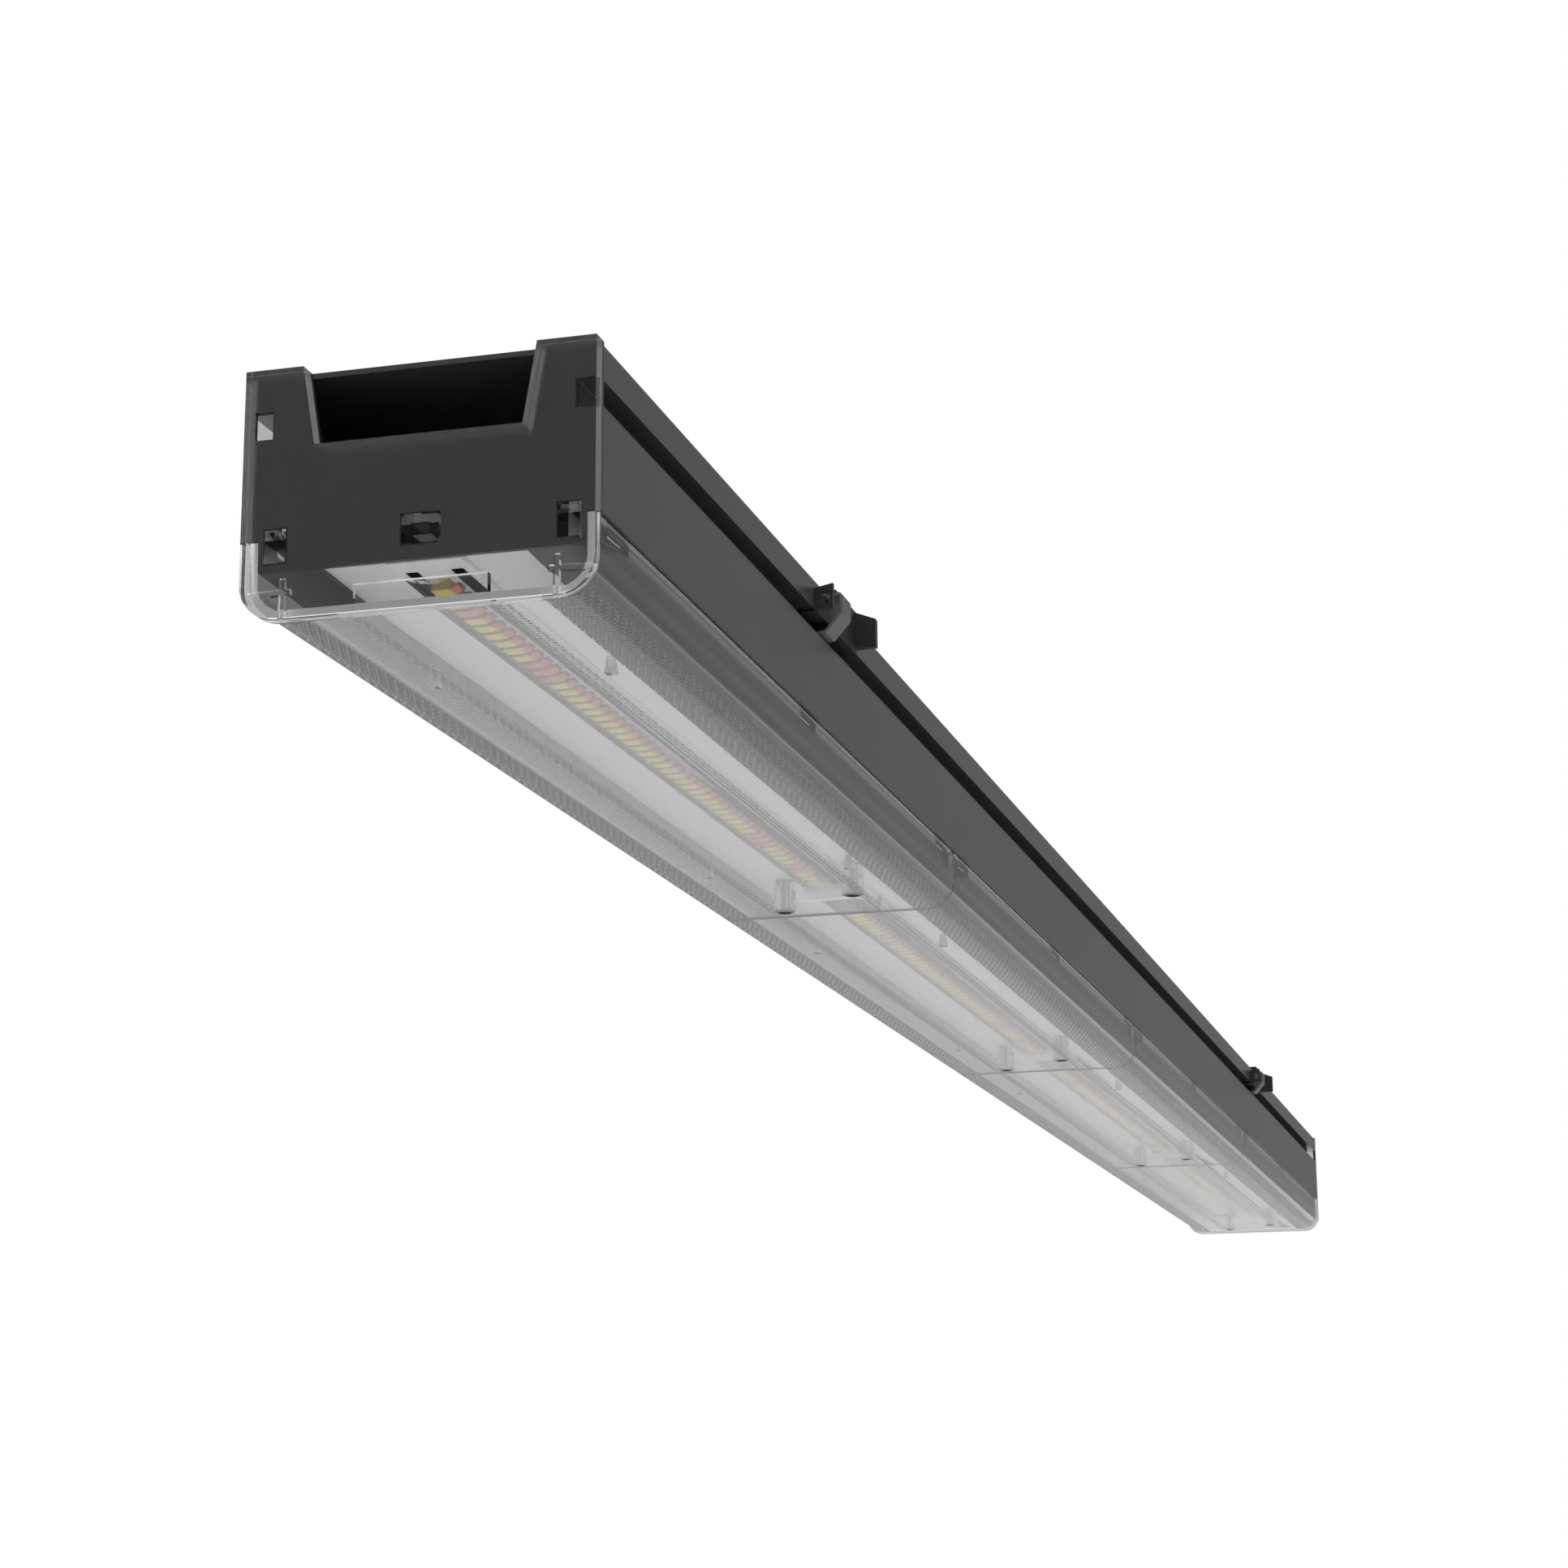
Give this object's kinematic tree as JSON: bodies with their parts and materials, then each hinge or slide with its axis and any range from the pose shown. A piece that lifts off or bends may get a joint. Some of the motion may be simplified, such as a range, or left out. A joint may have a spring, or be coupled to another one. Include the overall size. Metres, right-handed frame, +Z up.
{
  "type": "linear led light fixture",
  "caption": "Slim linear LED light fitting: dark folded steel channel with side grooves, clear ribbed optics under LED boards, clear end caps and black ceiling clips that hook into the grooves.",
  "frame": {"origin": "under the middle of the fitting, on the plane that its end caps rest on", "axes": "+X across the fitting, +Y along it from the near end to the far end, +Z up from the light-emitting side to the ceiling side"},
  "size_m": [0.0776, 1.14, 0.0481],
  "materials": {
    "dark_paint": "satin dark grey powder coat",
    "white_paint": "satin white powder coat",
    "clear_cap": "clear moulded polycarbonate",
    "clear_optic": "clear moulded acrylic with fine prismatic ribs",
    "clear_strip": "clear moulded silicone or acrylic",
    "black_screw": "blackened steel",
    "board_white": "white solder mask",
    "led_yellow": "phosphor-filled silicone, unlit",
    "led_pink": "phosphor-filled silicone, unlit",
    "link_white": "moulded white connector",
    "driver_shell": "white moulded housing",
    "zinc_screw": "zinc plated",
    "terminal_white": "natural nylon",
    "lead_brown": "insulated wire",
    "lead_green": "insulated wire",
    "lead_black": "insulated wire",
    "clip_black": "black coated sheet steel",
    "leaf_grey": "dark coated spring steel"
  },
  "bodies": {
    "root": {"housing": "dark_paint", "gear_tray": "white_paint", "end_plate_near": "dark_paint", "end_plate_far": "dark_paint", "end_cap_near": "clear_cap", "end_cap_far": "clear_cap", "lens_1": "clear_optic", "lens_2": "clear_optic", "lens_3": "clear_optic", "lens_4": "clear_optic", "lens_screws": "black_screw", "led_board_1": "board_white", "led_board_2": "board_white", "led_board_3": "board_white", "led_board_4": "board_white", "leds_warm_1": "led_yellow", "leds_warm_2": "led_yellow", "leds_warm_3": "led_yellow", "leds_warm_4": "led_yellow", "leds_red_1": "led_pink", "leds_red_2": "led_pink", "leds_red_3": "led_pink", "leds_red_4": "led_pink", "led_strip_lens_1": "clear_strip", "led_strip_lens_2": "clear_strip", "led_strip_lens_3": "clear_strip", "led_strip_lens_4": "clear_strip", "board_links": "link_white", "led_driver": "driver_shell", "driver_screws": "zinc_screw", "terminal_block": "terminal_white", "terminal_screws": "zinc_screw", "mains_leads": "lead_brown", "earth_lead": "lead_green", "earth_screw": "zinc_screw", "led_leads": "lead_black", "ceiling_clip_near": "clip_black", "ceiling_clip_far": "clip_black", "clip_leaves_near": "leaf_grey", "clip_leaves_far": "leaf_grey"}
  },
  "joints": []
}
